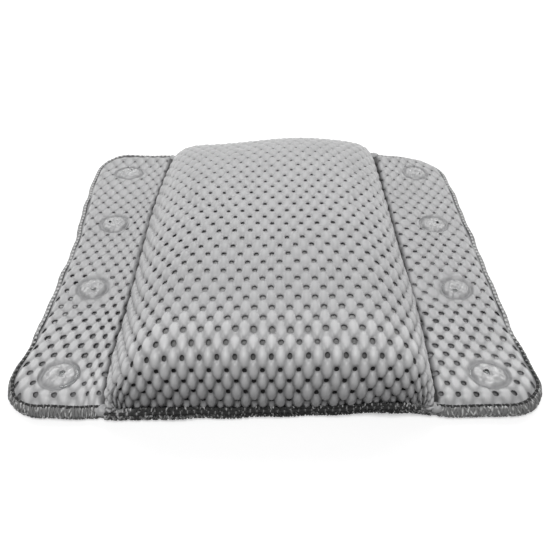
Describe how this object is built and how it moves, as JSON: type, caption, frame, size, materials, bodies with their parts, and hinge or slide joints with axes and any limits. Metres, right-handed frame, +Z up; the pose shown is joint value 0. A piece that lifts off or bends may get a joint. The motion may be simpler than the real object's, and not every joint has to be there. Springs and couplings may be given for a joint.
{
  "type": "bath pillow",
  "caption": "Crowned foam bath pillow in an open mesh cover, with sewn side flaps that fold and carry swivelling suction cups.",
  "frame": {"origin": "on the floor under the middle of the mat", "axes": "+X across the flaps to the right, +Y from the front edge to the back edge, +Z up through the cushion"},
  "size_m": [0.34, 0.316, 0.062],
  "materials": {
    "mesh": "satin",
    "thread": "matte",
    "foam": "matte",
    "clear_pvc": "gloss"
  },
  "bodies": {
    "cushion": {"foam_block": "foam", "pillow_cover": "mesh", "pillow_back": "mesh", "front_hem": "thread", "rear_hem": "thread", "left_seam": "thread", "right_seam": "thread"},
    "left_flap": {"left_flap_top": "mesh", "left_flap_back": "mesh", "left_flap_hem": "thread"},
    "right_flap": {"right_flap_top": "mesh", "right_flap_back": "mesh", "right_flap_hem": "thread"},
    "cup_left_1": {"suction_cup_left_1": "clear_pvc"},
    "cup_left_2": {"suction_cup_left_2": "clear_pvc"},
    "cup_left_3": {"suction_cup_left_3": "clear_pvc"},
    "cup_left_4": {"suction_cup_left_4": "clear_pvc"},
    "cup_right_1": {"suction_cup_right_1": "clear_pvc"},
    "cup_right_2": {"suction_cup_right_2": "clear_pvc"},
    "cup_right_3": {"suction_cup_right_3": "clear_pvc"},
    "cup_right_4": {"suction_cup_right_4": "clear_pvc"}
  },
  "joints": [
    {"name": "left_flap_fold", "type": "hinge", "parent": "cushion", "child": "left_flap", "pos_m": [-0.102, 0, 0.006], "axis": [0, 1, 0], "range_deg": [-100, 70]},
    {"name": "right_flap_fold", "type": "hinge", "parent": "cushion", "child": "right_flap", "pos_m": [0.102, 0, 0.006], "axis": [0, -1, 0], "range_deg": [-100, 70]},
    {"name": "cup_left_1_swivel", "type": "hinge", "parent": "left_flap", "child": "cup_left_1", "pos_m": [-0.138, -0.1325, 0], "axis": [0, 0, 1], "continuous": true},
    {"name": "cup_left_2_swivel", "type": "hinge", "parent": "left_flap", "child": "cup_left_2", "pos_m": [-0.138, -0.0475, 0], "axis": [0, 0, 1], "continuous": true},
    {"name": "cup_left_3_swivel", "type": "hinge", "parent": "left_flap", "child": "cup_left_3", "pos_m": [-0.138, 0.0375, 0], "axis": [0, 0, 1], "continuous": true},
    {"name": "cup_left_4_swivel", "type": "hinge", "parent": "left_flap", "child": "cup_left_4", "pos_m": [-0.138, 0.1225, 0], "axis": [0, 0, 1], "continuous": true},
    {"name": "cup_right_1_swivel", "type": "hinge", "parent": "right_flap", "child": "cup_right_1", "pos_m": [0.138, -0.1325, 0], "axis": [0, 0, 1], "continuous": true},
    {"name": "cup_right_2_swivel", "type": "hinge", "parent": "right_flap", "child": "cup_right_2", "pos_m": [0.138, -0.0475, 0], "axis": [0, 0, 1], "continuous": true},
    {"name": "cup_right_3_swivel", "type": "hinge", "parent": "right_flap", "child": "cup_right_3", "pos_m": [0.138, 0.0375, 0], "axis": [0, 0, 1], "continuous": true},
    {"name": "cup_right_4_swivel", "type": "hinge", "parent": "right_flap", "child": "cup_right_4", "pos_m": [0.138, 0.1225, 0], "axis": [0, 0, 1], "continuous": true}
  ]
}
